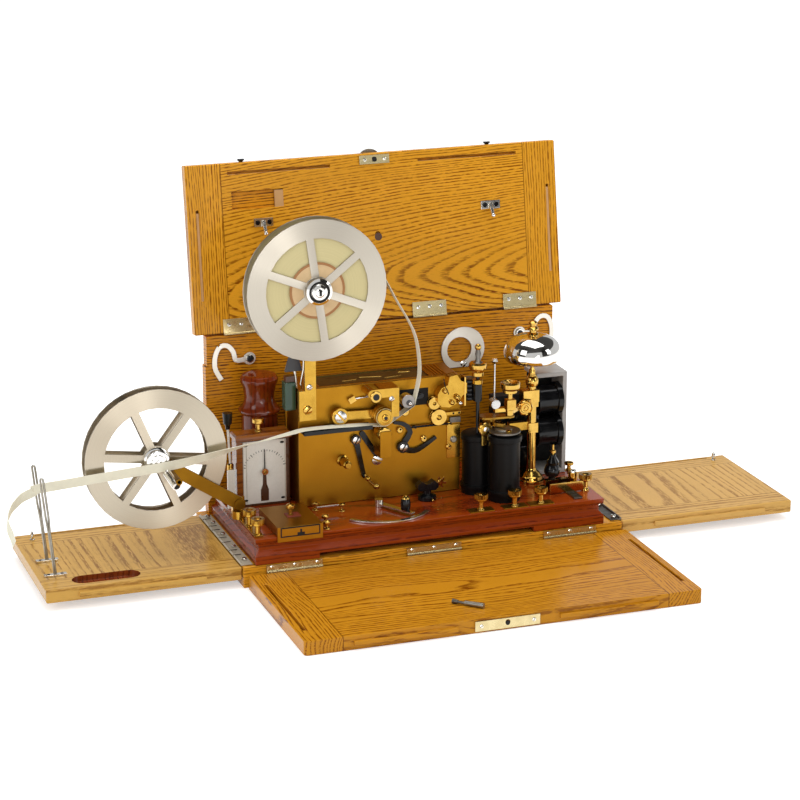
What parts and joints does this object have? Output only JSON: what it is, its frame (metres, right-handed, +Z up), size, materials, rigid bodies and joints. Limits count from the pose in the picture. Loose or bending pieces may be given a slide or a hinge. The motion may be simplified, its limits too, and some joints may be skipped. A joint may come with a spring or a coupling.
{
  "type": "field telegraph set",
  "caption": "An oak carrying case opened flat round a tape-writing field telegraph with clockwork drive, paper reels, electromagnets, bell, relay, galvanometer and key.",
  "frame": {"origin": "middle of the underside of the case's bottom board, on the surface that the set stands on", "axes": "+X to the right of someone who faces the instruments, +Y to the back wall, +Z up"},
  "size_m": [0.8163, 0.3865, 0.3794],
  "materials": {
    "oak": "varnished golden oak",
    "mahogany": "polished red mahogany",
    "walnut": "varnished walnut",
    "brass": "lacquered brass",
    "nickel": "worn nickel plate",
    "steel": "dark worn steel",
    "iron": "dark painted iron",
    "black": "black ebonite and japanned metal",
    "paper": "cream paper tape"
  },
  "bodies": {
    "case_body": {"case_bottom": "oak", "back_wall": "oak", "front_hinge_left": "brass", "front_hinge_middle": "brass", "front_hinge_right": "brass", "left_hinge_leaf": "steel", "right_hinge_leaf": "steel", "instrument_base": "mahogany", "movement_case": "brass", "reel_post": "brass", "takeup_arm": "brass", "takeup_post": "brass", "paper_tape": "paper", "tape_channel": "black", "guide_bracket": "brass", "ink_well": "brass", "coil_left": "black", "coil_right": "black", "contact_pillar": "brass", "bell_gong": "brass", "bell_post": "steel", "ring_plate": "nickel", "relay_frame": "iron", "relay_coils": "black", "galvanometer_case": "walnut", "handset": "mahogany", "arrester_box": "brass", "rotary_switch_base": "steel", "key_base": "brass", "terminal_plate": "iron", "plug_switch": "black"},
    "lid_body": {"lid": "oak", "lid_hinge_1": "brass", "lid_hinge_2": "brass", "lid_hinge_3": "brass", "lid_hinge_4": "brass", "strike_plate": "brass"},
    "front_flap_body": {"front_flap": "oak", "lock_plate": "brass"},
    "left_flap_body": {"left_flap": "oak", "tape_guide_front": "nickel", "tape_guide_rear": "nickel"},
    "right_flap_body": {"right_flap": "oak"},
    "supply_reel_body": {"supply_reel": "nickel", "paper_roll": "paper"},
    "takeup_reel_body": {"takeup_reel": "nickel"},
    "left_hook_body": {"left_hook": "nickel"},
    "right_hook_body": {"right_hook": "nickel"},
    "pressure_lever_body": {"pressure_lever": "brass"},
    "feed_roller_body": {"feed_roller": "brass"},
    "lower_roller_body": {"lower_roller": "brass"},
    "guide_pulley_body": {"guide_pulley": "nickel"},
    "start_lever_body": {"start_lever": "black"},
    "winding_arbor_body": {"winding_arbor": "brass"},
    "writing_lever_body": {"writing_lever": "black"},
    "armature_body": {"armature_lever": "nickel"},
    "clapper_body": {"bell_clapper": "brass"},
    "needle_body": {"galvanometer_needle": "steel"},
    "switch_arm_body": {"rotary_switch_arm": "brass"},
    "key_lever_body": {"key_lever": "brass"}
  },
  "joints": [
    {"name": "lid_fold", "type": "hinge", "parent": "case_body", "child": "lid_body", "pos_m": [-0.0013, 0.0791, 0.2111], "axis": [1, 0, 0], "range_deg": [0, 40]},
    {"name": "front_flap_fold", "type": "hinge", "parent": "case_body", "child": "front_flap_body", "pos_m": [0.0033, -0.0817, 0.0147], "axis": [-1, 0, 0], "range_deg": [0, 90]},
    {"name": "left_flap_fold", "type": "hinge", "parent": "case_body", "child": "left_flap_body", "pos_m": [-0.2004, 0, 0.02315], "axis": [0, 1, 0], "range_deg": [0, 15]},
    {"name": "right_flap_fold", "type": "hinge", "parent": "case_body", "child": "right_flap_body", "pos_m": [0.2004, 0, 0.02315], "axis": [0, -1, 0], "range_deg": [0, 90]},
    {"name": "supply_reel_turn", "type": "hinge", "parent": "case_body", "child": "supply_reel_body", "pos_m": [-0.10462, -0.0245, 0.2763], "axis": [0, 1, 0], "continuous": true},
    {"name": "takeup_reel_turn", "type": "hinge", "parent": "case_body", "child": "takeup_reel_body", "pos_m": [-0.2669, -0.0145, 0.1185], "axis": [0, 1, 0], "continuous": true},
    {"name": "left_hook_swing", "type": "hinge", "parent": "case_body", "child": "left_hook_body", "pos_m": [-0.14433, 0.0802, 0.1838], "axis": [0, -1, 0], "range_deg": [0, 25]},
    {"name": "right_hook_swing", "type": "hinge", "parent": "case_body", "child": "right_hook_body", "pos_m": [0.14939, 0.0802, 0.1838], "axis": [0, 1, 0], "range_deg": [0, 25]},
    {"name": "pressure_lever_lift", "type": "hinge", "parent": "case_body", "child": "pressure_lever_body", "pos_m": [-0.07832, -0.0107, 0.142], "axis": [0, -1, 0], "range_deg": [0, 8], "stiffness_Nm_per_rad": 0.2, "springref_deg": -11.46},
    {"name": "feed_roller_turn", "type": "hinge", "parent": "pressure_lever_body", "child": "feed_roller_body", "pos_m": [-0.03542, -0.0255, 0.14029], "axis": [0, 1, 0], "continuous": true},
    {"name": "lower_roller_turn", "type": "hinge", "parent": "case_body", "child": "lower_roller_body", "pos_m": [-0.03542, -0.023, 0.12269], "axis": [0, 1, 0], "continuous": true},
    {"name": "guide_pulley_turn", "type": "hinge", "parent": "case_body", "child": "guide_pulley_body", "pos_m": [-0.01002, -0.022, 0.1536], "axis": [0, 1, 0], "continuous": true},
    {"name": "start_lever_swing", "type": "hinge", "parent": "case_body", "child": "start_lever_body", "pos_m": [-0.06013, -0.0073, 0.1143], "axis": [0, 1, 0], "range_deg": [-12, 12]},
    {"name": "winding_arbor_turn", "type": "hinge", "parent": "case_body", "child": "winding_arbor_body", "pos_m": [-0.07401, -0.0043, 0.094], "axis": [0, 1, 0], "continuous": true},
    {"name": "writing_lever_rock", "type": "hinge", "parent": "case_body", "child": "writing_lever_body", "pos_m": [-0.01031, -0.0068, 0.1014], "axis": [0, 1, 0], "range_deg": [-2, 2], "stiffness_Nm_per_rad": 0.05},
    {"name": "armature_rock", "type": "hinge", "parent": "case_body", "child": "armature_body", "pos_m": [0.07525, -0.0305, 0.12555], "axis": [0.866, 0.5, 0], "range_deg": [-1.5, 1.5], "stiffness_Nm_per_rad": 0.05},
    {"name": "clapper_swing", "type": "hinge", "parent": "case_body", "child": "clapper_body", "pos_m": [0.09069, 0, 0.1351], "axis": [0, 1, 0], "range_deg": [-3, 10], "stiffness_Nm_per_rad": 0.05},
    {"name": "needle_swing", "type": "hinge", "parent": "case_body", "child": "needle_body", "pos_m": [-0.14901, 0.01431, 0.084], "axis": [0, 1, 0], "range_deg": [-35, 35], "stiffness_Nm_per_rad": 0.0005},
    {"name": "switch_arm_turn", "type": "hinge", "parent": "case_body", "child": "switch_arm_body", "pos_m": [-0.04239, -0.0252, 0.0507], "axis": [0, 0, 1], "range_deg": [-80, 22]},
    {"name": "key_press", "type": "hinge", "parent": "case_body", "child": "key_lever_body", "pos_m": [0.15662, -0.04, 0.0573], "axis": [0, -1, 0], "range_deg": [0, 4], "stiffness_Nm_per_rad": 0.5, "springref_deg": -2.86}
  ],
  "couplings": [
    {"joint": "lower_roller_turn", "follows": "feed_roller_turn", "ratio": -1.2917},
    {"joint": "writing_lever_rock", "follows": "armature_rock", "ratio": 1.3333}
  ]
}
